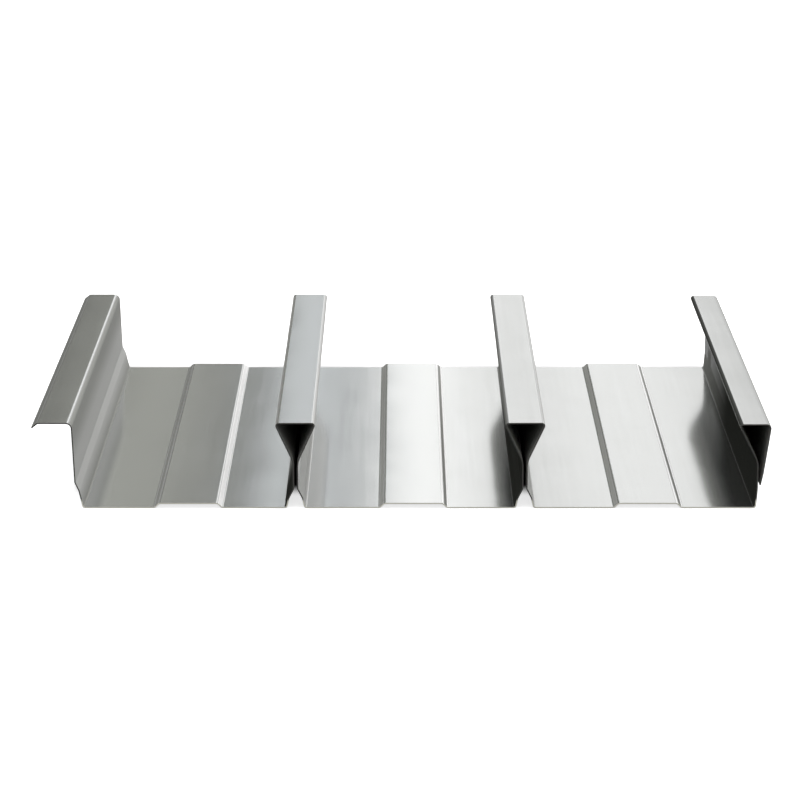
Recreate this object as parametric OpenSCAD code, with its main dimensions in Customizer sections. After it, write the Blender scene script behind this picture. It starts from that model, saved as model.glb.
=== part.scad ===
// Closed-rib steel floor decking sheet.
// One galvanised strip, roll-formed into three pans between closed ribs.
// The section lies in X and Z, the ribs run along Y, and the pans rest on z = 0.

/* [Sheet] */
// Length of the sheet along its ribs
sheet_length = 400; // [100:10:6000]
// Thickness of the steel
sheet_thickness = 1; // [0.7:0.05:1.5]
// Inside radius of the folds between pans, feet and webs
fold_radius = 1.5; // [0.5:0.1:2]
// Inside radius of the corners along the tops of the ribs
corner_radius = 1.5; // [0.5:0.1:3]

/* [Ribs] */
// Distance from one rib to the next
rib_pitch = 170; // [140:1:260]
// Number of pans between ribs
pan_count = 3; // [2:1:4]
// Height from the underside of the pans to the underside of the ribs' tops
rib_height = 65; // [55:0.5:90]
// Width of a rib's top between its mould lines
rib_top_width = 30; // [20:0.5:40]
// Clear gap between the two webs of a rib at its neck
neck_gap = 2; // [1:0.1:6]
// Height above the underside where the webs part over the neck
neck_top = 36; // [26:0.5:42]
// Height above the underside where the webs part under the neck
neck_bottom = 15; // [13:0.5:20]
// Inside radius of the wide bend where the webs part over the neck
neck_radius = 16; // [2:0.5:20]

/* [Rib feet] */
// Clear width of the slot that a rib leaves in the underside
slot_width = 12.5; // [10:0.5:20]
// Height of the fold between the steep and the sloping part of a foot
foot_fold_height = 8; // [6:0.5:10]
// How far the steep part of a foot leans in towards its rib
foot_lean = 1.75; // [0.5:0.05:2.5]

/* [Pan stiffener] */
// Width of the raised strip along the middle of a pan, at its foot
stiffener_foot = 50; // [30:0.5:60]
// Run of each sloping side of the raised strip
stiffener_run = 3.2; // [2.8:0.1:8]
// Height of the raised strip above the pan
stiffener_height = 3.2; // [1.5:0.1:6]
// Inside radius of the bends along the raised strip
stiffener_radius = 2.5; // [1:0.1:3.5]
// How far the raised strip lies off the middle of its pan, towards the underlap edge
stiffener_shift = 2.5; // [0:0.5:5]

/* [Overlap edge] */
// How much further a joint line lies from its neighbour than one rib does from the next
joint_play = 4; // [0:0.5:8]
// Width of the top flange that covers the next sheet's edge rib
overlap_flange = 25; // [22:0.5:36]
// Distance from the joint line to the corner of the overlap flange and its web
overlap_corner = 8.8; // [8:0.1:10]
// Inside radius of that corner
overlap_radius = 3.5; // [2.5:0.1:4]
// Length of the lip along the flange's free edge
lip_length = 5.5; // [3:0.5:8]
// Slope of the lip below level
lip_angle = 40; // [20:5:60]
// Height above the underside where the overlap web turns out to its foot
overlap_neck = 20; // [18:0.5:26]
// Distance from the joint line to the overlap web at that height
overlap_neck_reach = 10.3; // [9:0.1:12]
// Distance from the joint line to the foot of the overlap web
overlap_foot_reach = 16; // [13:0.1:20]

/* [Underlap edge] */
// Gap between the two sheets of a side lap
lap_clearance = 0.4; // [0.2:0.1:1]
// Distance from the joint line to the foot of the underlap web
underlap_foot_reach = 2.5; // [2:0.1:6]
// Distance from the joint line to the mould line along the underlap flange's inner corner
underlap_reach = 16; // [10:0.5:18]
// Height above the underside where the return leg turns in
leg_fold_height = 27; // [22:0.5:32]
// Distance from the joint line to the return leg at that height
leg_fold_reach = 2.2; // [1.8:0.1:4]
// Height above the underside of the return leg's free edge
leg_end_height = 18; // [15:0.5:20]
// Distance from the joint line to the return leg's free edge
leg_end_reach = 0.4; // [0.3:0.1:1.5]

/* [Hidden] */
// Fineness of the arcs round the bends
degrees_per_step = 7.5;
steel = [0.72, 0.73, 0.73];

// Everything below is laid out on the middle plane of the sheet.
half = sheet_thickness / 2;
pan_z = half;
top_z = rib_height + half;
crown_z = pan_z + stiffener_height;
neck_x = neck_gap / 2 + half;
foot_x = slot_width / 2 + half;
top_x = rib_top_width / 2;

// The underlap rib stands one thickness lower, so that the overlap flange lies on it.
underlap_top_z = top_z - sheet_thickness;
underlap_corner = overlap_corner - sheet_thickness - lap_clearance;

// Inside a side lap the corner of the return leg is one thickness tighter than the corner that covers it.
underlap_radius = overlap_radius - sheet_thickness;

// Rib line number i, counted from the overlap edge, and the two joint lines.
function rib_line(i) = (i - pan_count / 2) * rib_pitch;
first_line = rib_line(0) - joint_play;
last_line = rib_line(pan_count) + joint_play;

// A path is a list of mould corners, each [x, z, inside radius of the bend there].
// Web of a rib from its foot up to its top corner, on the side given by -1 or 1.
function web(line, side) = [
    [line + side * foot_x, pan_z, fold_radius],
    [line + side * (foot_x - foot_lean), foot_fold_height, fold_radius],
    [line + side * neck_x, neck_bottom, fold_radius],
    [line + side * neck_x, neck_top, neck_radius],
    [line + side * top_x, top_z, corner_radius]
];

function reversed(list) = [for (i = [len(list) - 1:-1:0]) list[i]];

function closed_rib(line) = concat(web(line, -1), reversed(web(line, 1)));

// Pan number i reaches from the foot on its left to the foot on its right.
function pan_start(i) = i == 0 ? first_line + overlap_foot_reach : rib_line(i) + foot_x;
function pan_end(i) = i == pan_count - 1 ? last_line - underlap_foot_reach : rib_line(i + 1) - foot_x;

// Raised strip along the middle of pan number i.
function stiffener(i) =
    let (middle = (pan_start(i) + pan_end(i)) / 2 + stiffener_shift,
         foot = stiffener_foot / 2,
         crown = foot - stiffener_run) [
        [middle - foot, pan_z, stiffener_radius],
        [middle - crown, crown_z, stiffener_radius],
        [middle + crown, crown_z, stiffener_radius],
        [middle + foot, pan_z, stiffener_radius]
    ];

// Overlap edge: sloping lip, top flange, nearly upright web and its foot.
overlap_edge_x = first_line + overlap_corner - overlap_flange;
foot_rise = (overlap_neck - pan_z) * 2 / 3;
foot_run = (overlap_foot_reach - overlap_neck_reach) / 2;
overlap_edge = [
    [overlap_edge_x - lip_length * cos(lip_angle), top_z - lip_length * sin(lip_angle), 0],
    [overlap_edge_x, top_z, fold_radius],
    [first_line + overlap_corner, top_z, overlap_radius],
    [first_line + overlap_neck_reach, overlap_neck, fold_radius],
    [first_line + overlap_foot_reach - foot_run, pan_z + foot_rise, fold_radius],
    [first_line + overlap_foot_reach, pan_z, fold_radius]
];

// Underlap edge: web, a lower top flange and a return leg that ends beside the neck.
underlap_edge = [
    [last_line - underlap_foot_reach, pan_z, fold_radius],
    [last_line - neck_x, neck_bottom, fold_radius],
    [last_line - neck_x, neck_top, neck_radius],
    [last_line - underlap_reach, underlap_top_z, corner_radius],
    [last_line + underlap_corner, underlap_top_z, underlap_radius],
    [last_line + leg_fold_reach, leg_fold_height, fold_radius],
    [last_line + leg_end_reach, leg_end_height, 0]
];

// The whole section, from the lip of the overlap edge to the end of the return leg.
section_path = concat(
    overlap_edge,
    [for (i = [1:pan_count - 1]) each concat(stiffener(i - 1), closed_rib(rib_line(i)))],
    stiffener(pan_count - 1),
    underlap_edge
);

function corner(i) = [section_path[i][0], section_path[i][1]];
function heading(i) = let (d = corner(i + 1) - corner(i)) atan2(d[1], d[0]);
function turn(i) = let (a = heading(i) - heading(i - 1)) a > 180 ? a - 360 : a < -180 ? a + 360 : a;
function along(angle) = [cos(angle), sin(angle)];
function left_of(angle) = along(angle + 90);
last_corner = len(section_path) - 1;

// Radius of the middle plane around the bend at corner i, and the length that it takes off each flat.
function bend_radius(i) = section_path[i][2] + half;
function setback(i) = bend_radius(i) * tan(abs(turn(i)) / 2);
function bend_centre(i) =
    corner(i) - setback(i) * along(heading(i - 1)) + sign(turn(i)) * bend_radius(i) * left_of(heading(i - 1));
function bend_steps(i) = ceil(abs(turn(i)) / degrees_per_step);

// Arc round the bend at corner i, at a distance to the left of the middle plane.
function bend_arc(i, side) =
    let (centre = bend_centre(i), radius = sign(turn(i)) * bend_radius(i) - side, steps = bend_steps(i))
        [for (k = [0:steps]) centre - radius * left_of(heading(i - 1) + turn(i) * k / steps)];

// One face of the sheet from end to end, at that distance.
function face(side) = concat(
    [corner(0) + side * left_of(heading(0))],
    [for (i = [1:last_corner - 1]) each bend_arc(i, side)],
    [corner(last_corner) + side * left_of(heading(last_corner - 1))]
);

module section() {
    polygon(concat(face(-half), reversed(face(half))));
}

// The origin is at the middle of the overall width, between the lip's edge and the return leg's corner.
leg_lean = atan2(underlap_corner - leg_fold_reach, underlap_top_z - leg_fold_height);
leg_mid_radius = underlap_radius + half;
left_reach = overlap_edge_x - lip_length * cos(lip_angle) - half * sin(lip_angle);
right_reach = last_line + underlap_corner + half
    + leg_mid_radius * (1 - (1 + sin(leg_lean)) / cos(leg_lean));

module deck_sheet() {
    color(steel)
        translate([-(left_reach + right_reach) / 2, sheet_length / 2, 0])
            rotate([90, 0, 0])
                linear_extrude(sheet_length)
                    section();
}

deck_sheet();
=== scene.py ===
# %% [markdown]
# # A galvanised floor deck sheet
# The object is one strip of zinc-coated steel that a roll former has folded lengthwise into pans
# and closed ribs. Nothing on it is joined or added, so the whole lesson is one continuous sheet: its
# folds, its thickness, its sheared ends and its satin zinc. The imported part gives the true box, and
# every place below is worked out from that box and a few sizes of the section.

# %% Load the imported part
import math
import bmesh
import bpy
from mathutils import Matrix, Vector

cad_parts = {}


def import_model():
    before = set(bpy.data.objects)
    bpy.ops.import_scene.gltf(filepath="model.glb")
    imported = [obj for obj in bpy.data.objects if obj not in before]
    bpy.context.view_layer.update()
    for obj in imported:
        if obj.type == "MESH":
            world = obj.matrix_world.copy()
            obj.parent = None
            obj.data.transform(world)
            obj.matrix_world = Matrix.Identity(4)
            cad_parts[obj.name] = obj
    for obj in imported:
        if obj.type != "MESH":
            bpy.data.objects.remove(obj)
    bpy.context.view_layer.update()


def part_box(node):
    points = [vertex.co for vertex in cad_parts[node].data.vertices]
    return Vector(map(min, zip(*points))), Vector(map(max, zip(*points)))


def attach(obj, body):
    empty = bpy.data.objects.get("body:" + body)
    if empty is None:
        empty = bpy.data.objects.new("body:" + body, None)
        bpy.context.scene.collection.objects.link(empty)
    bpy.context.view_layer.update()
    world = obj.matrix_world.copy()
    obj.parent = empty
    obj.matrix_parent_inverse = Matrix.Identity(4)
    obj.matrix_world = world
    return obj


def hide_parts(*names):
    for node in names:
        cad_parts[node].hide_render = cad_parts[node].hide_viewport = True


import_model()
sheet_low, sheet_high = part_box("deck_sheet")
sheet_length = sheet_high.y - sheet_low.y
print("packed sheet, metres:", [round(s, 4) for s in sheet_high - sheet_low])

# %% [markdown]
# ## Sizes of the rolled section
# A roll-formed profile is drawn on the middle plane of the strip: each flat ends at a mould corner,
# and each corner later becomes a bend. Heights are measured from the floor, and reaches sideways
# from the line of the rib or joint. Blender works in metres, so the sizes are written in millimetres
# and multiplied once.

# %% Section sizes
MM = 0.001
thickness = 1.0 * MM
half = thickness / 2
fold_radius, corner_radius = 1.5 * MM, 1.5 * MM
rib_pitch, joint_play = 170.0 * MM, 4.0 * MM
pan_count = 3
pan_z = sheet_low.z + half
top_z = sheet_high.z - half

# Closed rib: half the top, half the neck, half the foot, and the heights of the folds between.
rib_top_reach, neck_reach, foot_reach = 15.0 * MM, 1.5 * MM, 6.75 * MM
foot_fold_reach, foot_fold_z = 5.0 * MM, 8.0 * MM
neck_low_z, neck_high_z, neck_radius = 15.0 * MM, 36.0 * MM, 16.0 * MM

# Raised strip along each pan, a little off its middle.
stiffener_foot, stiffener_run, stiffener_shift = 50.0 * MM, 3.2 * MM, 2.5 * MM
stiffener_height, stiffener_radius = 3.2 * MM, 2.5 * MM

# Overlap edge on the left: a lip, a flange and a nearly upright web.
lip_length, lip_slope = 5.5 * MM, math.radians(40)
overlap_flange, overlap_corner, overlap_radius = 25.0 * MM, 8.8 * MM, 3.5 * MM
overlap_neck_reach, overlap_neck_z = 10.3 * MM, 20.0 * MM
overlap_foot_reach, overlap_foot_share = 16.0 * MM, 2 / 3

# Underlap edge on the right: a flange one thickness lower, and a return leg inside the lap.
lap_clearance = 0.4 * MM
underlap_foot_reach, underlap_reach = 2.5 * MM, 16.0 * MM
leg_fold_reach, leg_fold_z = 2.2 * MM, 27.0 * MM
leg_end_reach, leg_end_z = 0.4 * MM, 18.0 * MM
underlap_z = top_z - thickness
underlap_corner = overlap_corner - thickness - lap_clearance
underlap_radius = overlap_radius - thickness

# The lip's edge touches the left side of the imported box, which places the joint and the ribs.
lip_run, lip_drop = lip_length * math.cos(lip_slope), lip_length * math.sin(lip_slope)
flange_edge_x = sheet_low.x + half * math.sin(lip_slope) + lip_run
first_line = flange_edge_x + overlap_flange - overlap_corner
rib_lines = [first_line + joint_play + rib_pitch * i for i in range(1, pan_count)]
last_line = first_line + 2 * joint_play + rib_pitch * pan_count
print("joint and rib lines, mm:", [round(x / MM, 2) for x in (first_line, *rib_lines, last_line)])

# %% [markdown]
# ## Ribs and raised strips
# The section is read from left to right as a chain of corners, the way the strip meets the rollers.
# A list of drawn points would hide the logic, so each feature is a small function that returns its
# own corners: a rib is one web and its mirror image, and a raised strip is a crown between two steps.
# The third number of a corner is the inside radius of its bend.

# %% Corners of ribs and strips
def rib_web(line, side):
    """Corners of one web of a closed rib, from its foot up to the rib's top."""
    return [
        (line + side * foot_reach, pan_z, fold_radius),
        (line + side * foot_fold_reach, foot_fold_z, fold_radius),
        (line + side * neck_reach, neck_low_z, fold_radius),
        (line + side * neck_reach, neck_high_z, neck_radius),
        (line + side * rib_top_reach, top_z, corner_radius),
    ]


def closed_rib(line):
    return rib_web(line, -1) + rib_web(line, 1)[::-1]


def strip_line(start, end):
    """Where the raised strip runs between the two feet of its pan."""
    return (start + end) / 2 + stiffener_shift


def raised_strip(start, end):
    """Corners of the raised strip, from its left foot to its right one."""
    middle, foot = strip_line(start, end), stiffener_foot / 2
    crown = foot - stiffener_run
    crown_z = pan_z + stiffener_height
    return [
        (middle - foot, pan_z, stiffener_radius),
        (middle - crown, crown_z, stiffener_radius),
        (middle + crown, crown_z, stiffener_radius),
        (middle + foot, pan_z, stiffener_radius),
    ]


print("corners of a closed rib:", len(closed_rib(rib_lines[0])))

# %% [markdown]
# ## The chain of folds
# The features are strung together from the overlap edge to the underlap edge. A pan needs no corners
# of its own, because it is what lies level between a foot and a raised strip. The tip of the lip is
# kept apart, since the strip grows towards it in the other direction.

# %% Chain from edge to edge
foot_turn_x = first_line + (overlap_neck_reach + overlap_foot_reach) / 2
foot_turn_z = pan_z + (overlap_neck_z - pan_z) * overlap_foot_share
pan_starts = [first_line + overlap_foot_reach] + [x + foot_reach for x in rib_lines]
pan_ends = [x - foot_reach for x in rib_lines] + [last_line - underlap_foot_reach]

lip_tip = (flange_edge_x - lip_run, top_z - lip_drop, 0)
chain = [
    (flange_edge_x, top_z, fold_radius),
    (first_line + overlap_corner, top_z, overlap_radius),
    (first_line + overlap_neck_reach, overlap_neck_z, fold_radius),
    (foot_turn_x, foot_turn_z, fold_radius),
    (first_line + overlap_foot_reach, pan_z, fold_radius),
]
for number, (start, end) in enumerate(zip(pan_starts, pan_ends)):
    chain += raised_strip(start, end)
    if number < len(rib_lines):
        chain += closed_rib(rib_lines[number])
chain += [
    (last_line - underlap_foot_reach, pan_z, fold_radius),
    (last_line - neck_reach, neck_low_z, fold_radius),
    (last_line - neck_reach, neck_high_z, neck_radius),
    (last_line - underlap_reach, underlap_z, corner_radius),
    (last_line + underlap_corner, underlap_z, underlap_radius),
    (last_line + leg_fold_reach, leg_fold_z, fold_radius),
    (last_line + leg_end_reach, leg_end_z, 0),
]
print("corners in the chain:", len(chain) + 1)

# %% [markdown]
# ## Picking edges by their place
# By hand an edge is clicked, and in a script it is found by where it lies. The helper clears the old
# selection first, because an operator acts on all that is selected. A test then decides on each edge
# from its two ends, and `lies_at` makes such a test for one corner of the section.

# %% Select edges by a test
PLACE_SLACK = 0.01 * MM


def select_edges(test):
    """Selects the edges of the mesh being edited whose two ends pass the test, and nothing else."""
    mesh = bmesh.from_edit_mesh(bpy.context.edit_object.data)
    for part in (mesh.verts, mesh.edges, mesh.faces):
        for item in part:
            item.select = False
    chosen = [edge for edge in mesh.edges if test(*(v.co for v in edge.verts))]
    for edge in chosen:
        edge.select_set(True)
    mesh.select_flush_mode()
    bmesh.update_edit_mesh(bpy.context.edit_object.data)
    return len(chosen)


def lies_at(x, z):
    """A test for an edge that runs along the sheet at one place of the section."""
    def test(a, b):
        near = all(abs(p.x - x) < PLACE_SLACK and abs(p.z - z) < PLACE_SLACK for p in (a, b))
        return near and abs(a.y - b.y) > PLACE_SLACK
    return test


print("edges are found to within, mm:", PLACE_SLACK / MM)

# %% [markdown]
# ## From one flat to the whole section
# The left flange starts as a plane of its true size. Its right edge is extruded from corner to
# corner until the section is whole, and its left edge once more for the lip. Extruding an edge keeps
# the sheet in one piece, with no seams to weld afterwards, which is how the real strip is too.

# %% Extrude the strip
def extrude_to(here, there):
    move = (there[0] - here[0], 0, there[1] - here[1])
    bpy.ops.mesh.extrude_region_move(TRANSFORM_OT_translate={"value": move})


bpy.ops.object.select_all(action="DESELECT")
bpy.ops.mesh.primitive_plane_add(size=1)
sheet = bpy.context.object
sheet.name = "deck_sheet_rolled"
bpy.ops.object.mode_set(mode="EDIT")
bpy.ops.mesh.select_mode(type="EDGE")
bpy.ops.mesh.select_all(action="SELECT")
bpy.ops.transform.resize(value=(overlap_flange, sheet_length, 1))
middle_x = (chain[0][0] + chain[1][0]) / 2
middle_y = (sheet_low.y + sheet_high.y) / 2
bpy.ops.transform.translate(value=(middle_x, middle_y, top_z))

select_edges(lies_at(*chain[1][:2]))
for here, there in zip(chain[1:], chain[2:]):
    extrude_to(here, there)
select_edges(lies_at(*chain[0][:2]))
extrude_to(chain[0], lip_tip)
chain.insert(0, lip_tip)
print("flats in the strip:", len(bmesh.from_edit_mesh(sheet.data).faces))

# %% [markdown]
# ## Bends
# Rollers can't make a sharp fold: each bend has an inside radius, small at the feet and wide along
# the raised strips and over the necks. A bevel on the fold line does the same. Its offset is the
# setback of sheet-metal work, the radius of the middle plane times the tangent of half the turn, so
# shallow and steep folds of one radius look alike.

# %% Bevel every fold
DEGREES_PER_SEGMENT = 6
ROUND_PROFILE = 0.5


def turn_at(before, here, after):
    """Angle through which the strip turns at a corner."""
    first = math.atan2(here[1] - before[1], here[0] - before[0])
    second = math.atan2(after[1] - here[1], after[0] - here[0])
    return abs(math.remainder(second - first, math.tau))


for before, here, after in zip(chain, chain[1:], chain[2:]):
    turn = turn_at(before, here, after)
    setback = (here[2] + half) * math.tan(turn / 2)
    select_edges(lies_at(*here[:2]))
    bpy.ops.mesh.bevel(
        offset_type="OFFSET", offset=setback, profile=ROUND_PROFILE, affect="EDGES",
        segments=math.ceil(math.degrees(turn) / DEGREES_PER_SEGMENT) + 1,
    )
print("bends:", len(chain) - 2)

# %% [markdown]
# ## Rows for the ripple
# Thin flats never leave the rollers perfectly level. To carry a ripple, the wide flats are cut into
# strips and the whole sheet into rows along its length. Subdivide does both, once the edges that
# cross a flat, and then the edges that run along it, are selected by their direction. The tops have
# to face up for what follows, so the cell ends by looking at them.

# %% Subdivide across and along
STRIP_WIDTH = 8 * MM
ROWS = 48


def crosses_flat(cuts):
    """A test for the end edge of a flat that needs this number of cuts."""
    def test(a, b):
        across = abs(a.y - b.y) < PLACE_SLACK
        return across and round((a - b).length / STRIP_WIDTH) - 1 == cuts
    return test


widest = max(math.dist(a[:2], b[:2]) for a, b in zip(chain, chain[1:]))
for cuts in range(1, round(widest / STRIP_WIDTH) + 1):
    if select_edges(crosses_flat(cuts)):
        bpy.ops.mesh.subdivide(number_cuts=cuts)
select_edges(lambda a, b: abs(a.y - b.y) > sheet_length / 2)
bpy.ops.mesh.subdivide(number_cuts=ROWS - 1)
edited = bmesh.from_edit_mesh(sheet.data)
tops = [face.normal.z for face in edited.faces if face.calc_center_median().z > top_z - PLACE_SLACK]
print("faces of the middle plane:", len(edited.faces), "tops facing up:", min(tops) > 0)
bpy.ops.object.mode_set(mode="OBJECT")

# %% [markdown]
# ## Ripple, thickness and sheared ends
# A Displace modifier lifts the flats by a fraction of a millimetre, always upwards, so the sheet
# still rests on the floor. Solidify then gives the strip its millimetre of steel, half to each side
# of the middle plane, and a tiny Bevel takes the sharpness off the sheared edges. Two empty material
# slots come first, because Solidify gives the rim a slot of its own only if it exists. Each modifier
# is applied, so the result is a plain mesh.

# %% Finish the mesh
RIPPLE_HEIGHT = 0.25 * MM
RIPPLE_LENGTH = 70 * MM
EDGE_WEAR, WEAR_SEGMENTS = 0.12 * MM, 2
EDGE_ANGLE, SMOOTH_ANGLE = math.radians(60), math.radians(40)
WIDE_FACE_WEIGHT = 100
ZINC_SLOT, EDGE_SLOT = 0, 1


def apply_modifier(kind, **settings):
    modifier = sheet.modifiers.new(kind.title(), kind)
    for name, value in settings.items():
        setattr(modifier, name, value)
    bpy.ops.object.modifier_apply(modifier=modifier.name)


for _ in (ZINC_SLOT, EDGE_SLOT):
    sheet.data.materials.append(None)
ripple = bpy.data.textures.new("rolled_ripple", "CLOUDS")
ripple.noise_scale = RIPPLE_LENGTH
apply_modifier("DISPLACE", texture=ripple, texture_coords="LOCAL", strength=RIPPLE_HEIGHT, mid_level=0)
apply_modifier(
    "SOLIDIFY", thickness=thickness, offset=0, use_even_offset=True, material_offset_rim=EDGE_SLOT,
)
apply_modifier(
    "BEVEL", width=EDGE_WEAR, segments=WEAR_SEGMENTS, limit_method="ANGLE", angle_limit=EDGE_ANGLE,
)
bpy.ops.object.shade_smooth_by_angle(angle=SMOOTH_ANGLE)
apply_modifier("WEIGHTED_NORMAL", keep_sharp=True, weight=WIDE_FACE_WEIGHT)
sheet.data.calc_loop_triangles()
edge_faces = sum(face.material_index == EDGE_SLOT for face in sheet.data.polygons)
print("triangles:", len(sheet.data.loop_triangles), "sheared faces:", edge_faces)

# %% [markdown]
# ## Where the rollers polished
# The finishing rollers press hard on pans and rib tops and hardly touch the rest, so the zinc is
# bright on level flats and matt on bends. A mask with one value per vertex records that for the
# shader. It is stored on the mesh, because the direction of a face is known here for good. The fold
# at the foot of the overlap web is matt from its first slight tilt on, so it is found by its place.

# %% Mark bent faces
LEVEL, STEEP = 0.06, 0.2
FOOT_ZONE, FOOT_TILT = 4 * MM, 0.07


def ramp(value, low, high):
    """Rises smoothly from 0 to 1 between two values."""
    share = min(max((value - low) / (high - low), 0), 1)
    return share * share * (3 - 2 * share)


def record(mark):
    """Stores what a mark says of each vertex, under the mark's own name."""
    layer = sheet.data.attributes.new(mark.__name__, "FLOAT", "POINT")
    values = [mark(v.co, v.normal) for v in sheet.data.vertices]
    layer.data.foreach_set("value", values)
    print("mark:", layer.name, "mean over the vertices:", round(sum(values) / len(values), 3))


def bent(place, normal):
    """1 on steep faces and in the fold at the overlap web's foot, 0 on flats and under overhangs."""
    if abs(place.x - pan_starts[0]) < FOOT_ZONE and normal.x > FOOT_TILT:
        return 1
    return ramp(1 - normal.z, LEVEL, STEEP) if normal.z > 0 else 0


record(bent)

# %% [markdown]
# ## Storage stain and dull insides
# The left webs are painted near black, as shade that is deepest at the near end and fades along the
# rib, on each rib at its own pace. The top corners over those webs, the insides of the ribs, the lip
# and the left steps of the strips get painted shade to a lesser degree.

# %% Mark painted shade
# Painted shade: the tilts over which it sets in, and its share on the lip and inside the ribs.
SHADE_FROM, SHADE_TO = 0.01, 0.15
LIP_SHADE, INSIDE_SHADE = 0.6, 0.4
SHADE_TOP, CORNER_FOOT = 44 * MM, 54 * MM
STEP_ZONE, STEP_FROM, STEP_TO = 4 * MM, 0.15, 0.4
rib_zone = rib_top_reach + thickness
strip_lines = [strip_line(start, end) for start, end in zip(pan_starts, pan_ends)]
step_offset = (stiffener_foot - stiffener_run) / 2

# For each strip, how much painted shade its left step gets.
STEP_SHADE = (0.4, 0.15, 0.0)

# For each rib and the underlap edge, how much painted shade the left top corner gets, and how the
# painted shade on the web fades: by how much, and between which shares of the length.
CORNER_SHADE = (0.1, 0.7, 0.95)
SHADE_FADING = ((0.9, 0.1, 0.5), (0.65, 0.45, 1.0), (0.45, 0.5, 1.0))


def left_web(place, normal, corner, faded, start, end):
    """Painted shade on a left web, 1 at the near end, and on the corner above it."""
    web_shade = 1 - faded * ramp((place.y - sheet_low.y) / sheet_length, start, end)
    high = ramp(place.z, SHADE_TOP, CORNER_FOOT)
    strength = web_shade * (1 - high) + high * corner * (normal.z > 0)
    return strength * ramp(-normal.x, SHADE_FROM, SHADE_TO)


def inside_rib(place, normal, across):
    """Weaker painted shade on faces that look in from the webs or down from the rib's top."""
    roof = -normal.z if place.z > underlap_z - thickness else 0
    inward = normal.x if across < 0 else -normal.x
    return INSIDE_SHADE * ramp(max(roof, inward), SHADE_FROM, SHADE_TO)


def painted_shade(place, normal):
    """How much shade is painted: 1 where a left web is fully shaded, 0 on pans and right webs."""
    if place.x < flange_edge_x:
        return LIP_SHADE * ramp(-normal.x, SHADE_FROM, SHADE_TO)
    for line, share in zip(strip_lines, STEP_SHADE):
        if abs(place.x - line + step_offset) < STEP_ZONE and normal.z > 0:
            return share * ramp(-normal.x, STEP_FROM, STEP_TO)
    ribs = zip((*rib_lines, last_line), CORNER_SHADE, SHADE_FADING)
    line, corner, fading = min(ribs, key=lambda rib: abs(place.x - rib[0]))
    across = place.x - line
    below_leg = line == last_line and place.z < leg_end_z and normal.x > 0
    if abs(across) > rib_zone or below_leg:
        return 0
    if across < 0 and normal.x < 0:
        return left_web(place, normal, corner, *fading)
    return inside_rib(place, normal, across)


record(painted_shade)

# %% [markdown]
# ## Pale bloom
# The faces that look to the right are painted light, as where light falls on them: in full on the
# right step of the first strip, which makes it a white line, faintly on the right webs of the ribs,
# and on the overlap web, where it fades upwards. On the other strips only the bends of the step are
# painted light, and the slope between them stays clean.

# %% Mark painted light
# Painted light: the tilts over which it sets in, and its share on the right webs and the overlap web.
LIT_FROM, LIT_TO = 0.2, 0.45
WEB_LIGHT = 0.35
LAP_LIGHT, LAP_LOW, LAP_HIGH = 0.4, 32 * MM, 58 * MM
SLOPE_FROM, SLOPE_TO = 0.45, 0.65

# For each strip, the tilts between which the painted light of its right step sets in, and the share
# of it that the slope keeps.
STEP_LIGHT = ((0.3, 0.5, 1.0), (0.1, 0.25, 0.0), (0.1, 0.25, 0.0))


def painted_light(place, normal):
    """How much light is painted on the overlap web, the right webs and the right steps, 0 elsewhere."""
    facing = ramp(normal.x, LIT_FROM, LIT_TO)
    if place.x < pan_starts[0]:
        return facing * LAP_LIGHT * (1 - ramp(place.z, LAP_LOW, LAP_HIGH))
    if any(0 < place.x - line < rib_zone for line in rib_lines):
        return facing * WEB_LIGHT
    for line, (start, full, share) in zip(strip_lines, STEP_LIGHT):
        if abs(place.x - line - step_offset) < STEP_ZONE and normal.z > 0:
            slope = ramp(normal.x, SLOPE_FROM, SLOPE_TO)
            return ramp(normal.x, start, full) * (1 - slope * (1 - share))
    return 0


record(painted_light)

# %% [markdown]
# ## Shader maths as sums
# A node tree is easier to read as a formula. This small class wraps one socket, so that `1 - mask`
# or `a * b` adds the Math node it needs. Everything that isn't plain arithmetic goes through `node`,
# which sets a node's own settings first and then fills its sockets with numbers or links.

# %% A socket that can be added and multiplied
class Wire:
    def __init__(self, tree, socket=None):
        self.tree, self.socket = tree, socket

    def node(self, kind, output=0, settings=None, sockets=None):
        made = self.tree.nodes.new(kind)
        for name, value in (settings or {}).items():
            setattr(made, name, value)
        for name, value in (sockets or {}).items():
            self.fill(made.inputs[name], value)
        return Wire(self.tree, made.outputs[output])

    def fill(self, socket, value):
        if isinstance(value, Wire):
            self.tree.links.new(value.socket, socket)
        else:
            socket.default_value = value

    def math(self, operation, first, second):
        settings = {"operation": operation}
        return self.node("ShaderNodeMath", settings=settings, sockets={0: first, 1: second})

    def __add__(self, other):
        return self.math("ADD", self, other)

    def __sub__(self, other):
        return self.math("SUBTRACT", self, other)

    def __rsub__(self, other):
        return self.math("SUBTRACT", other, self)

    def __mul__(self, other):
        return self.math("MULTIPLY", self, other)

    __radd__, __rmul__ = __add__, __mul__

    def __abs__(self):
        return self.math("ABSOLUTE", self, 0)

    def step(self, low, high):
        """Rises smoothly from 0 to 1 between two values."""
        return self.node(
            "ShaderNodeMapRange", settings={"interpolation_type": "SMOOTHSTEP"},
            sockets={"Value": self, "From Min": low, "From Max": high},
        )

    def axes(self):
        """The three parts of a vector, each as a wire of its own."""
        split = self.node("ShaderNodeSeparateXYZ", sockets={0: self})
        return [Wire(self.tree, socket) for socket in split.socket.node.outputs]


print("shader maths ready")

# %% [markdown]
# ## Helpers for materials
# A Math node turns a colour grey, so colours have a Mix node of their own. Its sockets go by number,
# because the same names serve numbers, vectors and colours. Patterns read Object coordinates, so they
# stay on the steel from every side, and a Mapping node stretches a noise along one axis.

# %% Colours, patterns and marks
MIX_FACTOR, MIX_A, MIX_B, MIX_RESULT = 0, 6, 7, 2


def mix_colours(factor, low, high):
    return factor.node(
        "ShaderNodeMix", output=MIX_RESULT, settings={"data_type": "RGBA"},
        sockets={MIX_FACTOR: factor, MIX_A: low, MIX_B: high},
    )


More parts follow.
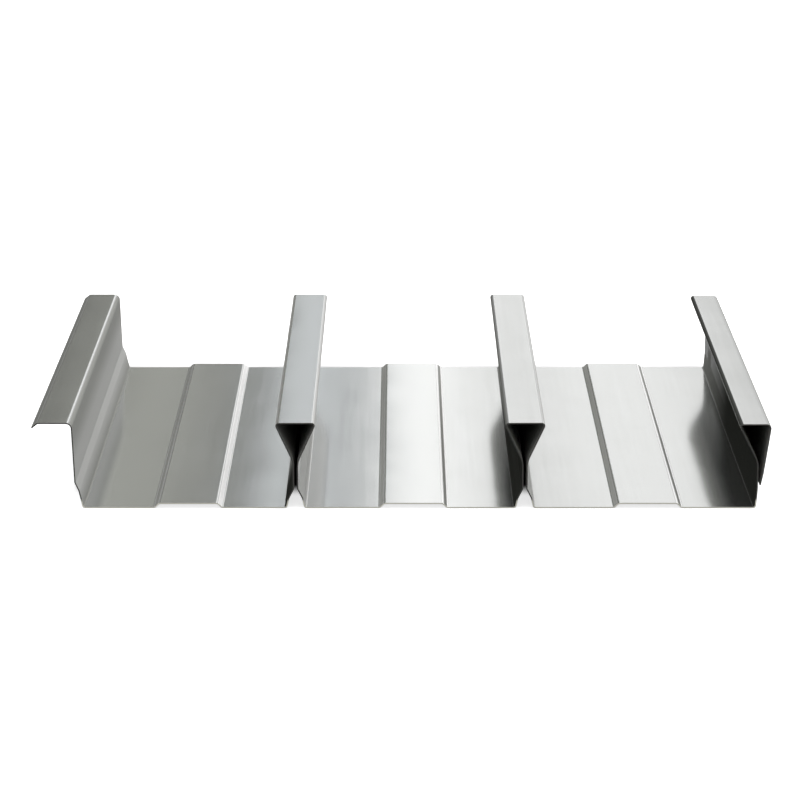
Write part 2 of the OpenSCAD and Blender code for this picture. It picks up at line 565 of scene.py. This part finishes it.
def new_material(name):
    material = bpy.data.materials.new(name)
    material.use_nodes = True
    tree = material.node_tree
    return material, Wire(tree), tree.nodes["Principled BSDF"]


def feed(wire, shader, **sockets):
    """Fills the sockets of a shader by name, with an underscore for each space."""
    for name, value in sockets.items():
        wire.fill(shader.inputs[name.replace("_", " ")], value)


def object_place(wire):
    return wire.node("ShaderNodeTexCoord", output="Object")


def stretched_noise(wire, scale, detail):
    """Noise on Object coordinates, with its own scale along each axis."""
    mapped = wire.node("ShaderNodeMapping", sockets={"Vector": object_place(wire), "Scale": scale})
    return wire.node("ShaderNodeTexNoise", sockets={"Vector": mapped, "Scale": 1, "Detail": detail})


def marked(wire, name):
    return wire.node("ShaderNodeAttribute", output="Fac", settings={"attribute_name": name})


print("material helpers ready")

# %% [markdown]
# ## Satin zinc
# Hot-dip zinc that has been through rollers is neither mirror nor matt. The rollers leave faint
# streaks along the strip, the coating varies a little in broad patches, and the zinc crystals show as
# a barely visible spangle. Bending crazes the coating, so bends and webs scatter light instead of
# mirroring it. The three marks are blended in one after the other: the bent finish, painted light on
# faces that look to the right, and painted shade on the left webs and in the hollows.

# %% Zinc finish
ZINC_DARK, ZINC_LIGHT, ZINC_METALLIC = (0.63, 0.64, 0.63, 1), (0.79, 0.8, 0.8, 1), 0.98
FLAT_ROUGHNESS, BENT_ROUGHNESS = 0.15, 0.5
MID_TONE, TONE_ROUGHNESS = 0.5, 0.06
STREAK_SCALE, MOTTLE_SCALE, SPANGLE_SCALE = (260, 6, 260), (28, 14, 28), 260
STREAK_SHARE, MOTTLE_SHARE, SPANGLE_SHARE = 0.45, 0.5, 0.05
ZINC_DETAIL = 2
BUMP_STRENGTH, BUMP_DISTANCE = 0.012, 0.2 * MM
NO_SPECULAR = 0.0

# For each mark, the colour that it turns the zinc to, and how metallic it leaves it.
MARK_COLOURS = {
    "bent": ((0.44, 0.445, 0.42, 1), 0.6),
    # Painted light on faces that look to the right.
    "painted_light": ((0.97, 0.97, 0.96, 1), 0.1),
    # Painted shade on the left webs and in the hollows.
    "painted_shade": ((0.025, 0.026, 0.023, 1), 0.0),
}


def zinc_finish():
    material, wire, shader = new_material("satin_zinc")
    streaks = stretched_noise(wire, STREAK_SCALE, ZINC_DETAIL)
    mottle = stretched_noise(wire, MOTTLE_SCALE, ZINC_DETAIL)
    cells = wire.node(
        "ShaderNodeTexVoronoi", output="Color",
        sockets={"Vector": object_place(wire), "Scale": SPANGLE_SCALE},
    )
    spangle = wire.node("ShaderNodeSeparateColor", sockets={"Color": cells})
    tone = streaks * STREAK_SHARE + mottle * MOTTLE_SHARE + spangle * SPANGLE_SHARE
    masks = {name: marked(wire, name) for name in MARK_COLOURS}
    colour, metallic = mix_colours(tone, ZINC_DARK, ZINC_LIGHT), ZINC_METALLIC
    for name, (mark_colour, share) in MARK_COLOURS.items():
        colour = mix_colours(masks[name], colour, mark_colour)
        metallic = metallic * (1 - masks[name]) + share * masks[name]
    roughness = FLAT_ROUGHNESS + masks["bent"] * (BENT_ROUGHNESS - FLAT_ROUGHNESS)
    bump = wire.node(
        "ShaderNodeBump",
        sockets={"Strength": BUMP_STRENGTH, "Distance": BUMP_DISTANCE, "Height": streaks + mottle},
    )
    feed(
        wire, shader, Base_Color=colour, Metallic=metallic, Normal=bump, Specular_IOR_Level=NO_SPECULAR,
        Roughness=roughness + (tone - MID_TONE) * TONE_ROUGHNESS,
    )
    return material


sheet.data.materials[ZINC_SLOT] = zinc_finish()
print("zinc:", sheet.data.materials[ZINC_SLOT].name)

# %% [markdown]
# ## Sheared steel
# The strip is sheared to length after rolling, so its ends and its two free edges show bare steel with
# a fine tear grain and a trace of zinc drawn over it. Solidify gave these faces the second material
# slot. Up to a few millimetres above the floor these faces are painted light, as light from the floor
# would make them, and the ends of the ribs above them keep the dark grained colour.

# %% Sheared edges
EDGE_DARK, EDGE_LIGHT = (0.035, 0.0345, 0.0315, 1), (0.1, 0.099, 0.09, 1)
# Painted light on the edge faces near the floor, and the heights over which it ends.
EDGE_FLOOR_LIT = (0.8, 0.79, 0.7, 1)
FLOOR_LIT_LOW, FLOOR_LIT_HIGH = 5.0 * MM, 8.0 * MM
EDGE_GRAIN, GRAIN_DETAIL = (700, 700, 2500), 3
EDGE_METALLIC, EDGE_ROUGHNESS, EDGE_ROUGHNESS_SPAN = 0.4, 0.42, 0.2


def sheared_edge():
    material, wire, shader = new_material("sheared_steel")
    grain = stretched_noise(wire, EDGE_GRAIN, GRAIN_DETAIL)
    _, _, height = object_place(wire).axes()
    torn = mix_colours(grain, EDGE_DARK, EDGE_LIGHT)
    feed(
        wire, shader, Base_Color=mix_colours(height.step(FLOOR_LIT_LOW, FLOOR_LIT_HIGH), EDGE_FLOOR_LIT, torn),
        Metallic=EDGE_METALLIC, Roughness=EDGE_ROUGHNESS + grain * EDGE_ROUGHNESS_SPAN,
    )
    return material


sheet.data.materials[EDGE_SLOT] = sheared_edge()
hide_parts("deck_sheet")
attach(sheet, "root")
print("materials:", [m.name for m in sheet.data.materials])

# %% [markdown]
# ## Floor
# The sheet lies on a plain white floor. A white floor would also shine up into the webs, which are
# dark on the real thing, so the floor is white only where the camera sees it directly and grey where
# the metal mirrors it. It glows a little to fade the shadow. Under the sheet the glow ends a few
# centimetres behind the near end, so the slots of the ribs are light at the front and dark behind.

# %% Floor
FLOOR_SIZE = 16
FLOOR_DROP = 0.2 * MM
FLOOR_GREY, FLOOR_WHITE, FLOOR_ROUGHNESS = (0.3, 0.3, 0.3, 1), (0.8, 0.8, 0.8, 1), 1.0
NO_GLOW, FULL_GLOW, FLOOR_GLOW = (0, 0, 0, 1), (1, 1, 1, 1), 0.75
GLOW_DEPTH, GLOW_FADE = 30 * MM, 30 * MM


def pale_floor():
    material, wire, shader = new_material("pale_floor")
    seen = wire.node("ShaderNodeLightPath", output="Is Camera Ray")
    across, along, _ = object_place(wire).axes()
    glow_end = sheet_low.y + GLOW_DEPTH
    behind = along.step(glow_end, glow_end + GLOW_FADE)
    under = behind * (1 - along.step(sheet_high.y, sheet_high.y + GLOW_FADE))
    under = under * across.step(first_line, pan_starts[0]) * (1 - across.step(pan_ends[-1], last_line))
    feed(
        wire, shader, Base_Color=mix_colours(seen, FLOOR_GREY, FLOOR_WHITE), Roughness=FLOOR_ROUGHNESS,
        Emission_Color=mix_colours(seen * (1 - under), NO_GLOW, FULL_GLOW), Emission_Strength=FLOOR_GLOW,
    )
    return material


bpy.ops.mesh.primitive_plane_add(size=FLOOR_SIZE, location=(0, 0, -FLOOR_DROP))
floor = bpy.context.object
floor.name = "studio_floor"
floor.data.materials.append(pale_floor())
print("floor:", floor.name)

# %% [markdown]
# ## Camera
# The picture was taken from in front of the near end, a little above the sheet, with a long lens:
# the ribs hardly converge. The distance, height and tilt are those of a pinhole camera that was
# fitted to the corners of the section.

# %% Camera
IMAGE_WIDTH, SENSOR_WIDTH = 800, 36
FOCAL_PIXELS = 3046
CAMERA_X, CAMERA_Z = -0.9 * MM, 688.9 * MM
CAMERA_DISTANCE = 2157.4 * MM
CAMERA_TILT = math.radians(15.671)
bpy.ops.object.camera_add(
    location=(CAMERA_X, sheet_low.y - CAMERA_DISTANCE, CAMERA_Z),
    rotation=(math.pi / 2 - CAMERA_TILT, 0, 0),
)
camera = bpy.context.object
camera.data.sensor_width = SENSOR_WIDTH
camera.data.lens = FOCAL_PIXELS / IMAGE_WIDTH * SENSOR_WIDTH
bpy.context.scene.camera = camera
bpy.context.scene.view_settings.view_transform = "Standard"
print("lens, mm:", round(camera.data.lens, 1))

# %% [markdown]
# ## Softbox
# A large soft lamp overhead lights the matt faces and gives the sheet its faint shadow. Mirrored in
# level flats it would burn out, so it is hidden from the camera and from reflections, and the sky in
# the next cell puts a calmer panel in its place.

# %% Softbox
SOFTBOX_SIZE, SOFTBOX_HEIGHT, SOFTBOX_WATTS = 3.0, 2.2, 45
bpy.ops.object.light_add(type="AREA", location=(0, 0, SOFTBOX_HEIGHT))
softbox = bpy.context.object
softbox.name = "overhead_softbox"
softbox.data.size = SOFTBOX_SIZE
softbox.data.energy = SOFTBOX_WATTS
softbox.visible_camera = False
softbox.visible_glossy = False
print("softbox, watts:", softbox.data.energy)

# %% [markdown]
# ## Panels in the sky
# Polished metal looks like whatever stands round it, so the sky behind the sheet is a row of plain
# panels, darker on the left and brighter on the right. A level face mirrors the direction whose
# sideways part and upward part stand in the same ratio as its own place and the camera's height. The
# panels are laid out by that ratio, so a pan mirrors the same ones at its near and far end. Higher up
# the sky is dark until the panel overhead begins, and to the sides it turns to one plain grey.

# %% Panels
WARM, COOL, PLAIN = (1.0, 1.01, 0.925), (0.945, 0.98, 1.0), (1.0, 1.0, 0.99)
PANEL_SPAN, BRIGHTEST = 300 * MM, 1.5
LOWEST_UP = 0.02
ROW_FROM, ROW_TO = math.sin(math.radians(21)), math.sin(math.radians(33))
ZENITH_FROM, ZENITH_TO = math.sin(math.radians(52)), math.sin(math.radians(60))
SIDE_FROM, SIDE_TO = math.radians(28), math.radians(58)
DARK_TONE, SIDE_TONE, ZENITH_TONE = (0, 0, 0, 1), (0.42, 0.42, 0.42, 1), (0.6, 0.6, 0.6, 1)

# For each panel, its left edge on the sheet in millimetres, its tone and its tint.
PANELS = [
    (-300, 0.18, WARM), (-253, 0.50, WARM), (-181, 0.31, WARM), (-136, 0.06, WARM), (-104, 1.12, COOL),
    (-70, 0.46, COOL), (-14, 1.50, PLAIN), (34, 1.05, PLAIN), (88, 0.80, PLAIN), (118, 1.1, PLAIN),
    (268, 0.70, PLAIN),
]


def panel_row(place):
    """The tone of the panel that a flat at this place mirrors, as a share of the brightest."""
    share = place.node(
        "ShaderNodeMapRange", sockets={"Value": place, "From Min": -PANEL_SPAN, "From Max": PANEL_SPAN},
    )
    row = place.node("ShaderNodeValToRGB", sockets={"Fac": share})
    tones = row.socket.node.color_ramp
    tones.interpolation = "CONSTANT"
    while len(tones.elements) < len(PANELS):
        tones.elements.new(1)
    for stop, (edge, tone, tint) in zip(tones.elements, PANELS):
        stop.position = (edge * MM + PANEL_SPAN) / (2 * PANEL_SPAN)
        stop.color = (*(tone * part / BRIGHTEST for part in tint), 1)
    return row


def sky_tone(sky):
    """The row of panels, the dark above it, the grey to its sides and the panel overhead."""
    across, away, up = sky.node("ShaderNodeTexCoord", output="Generated").axes()
    place = sky.math("DIVIDE", across * CAMERA_Z, sky.math("MAXIMUM", up, LOWEST_UP))
    turned = abs(sky.math("ARCTAN2", across, away))
    tone = mix_colours(up.step(ROW_FROM, ROW_TO), panel_row(place), DARK_TONE)
    tone = mix_colours(turned.step(SIDE_FROM, SIDE_TO), tone, SIDE_TONE)
    return mix_colours(up.step(ZENITH_FROM, ZENITH_TO), tone, ZENITH_TONE)


world = bpy.data.worlds.new("studio_sky")
bpy.context.scene.world = world
world.use_nodes = True
sky = Wire(world.node_tree)
feed(sky, world.node_tree.nodes["Background"], Color=sky_tone(sky), Strength=BRIGHTEST)
print("panels in the sky:", len(PANELS))
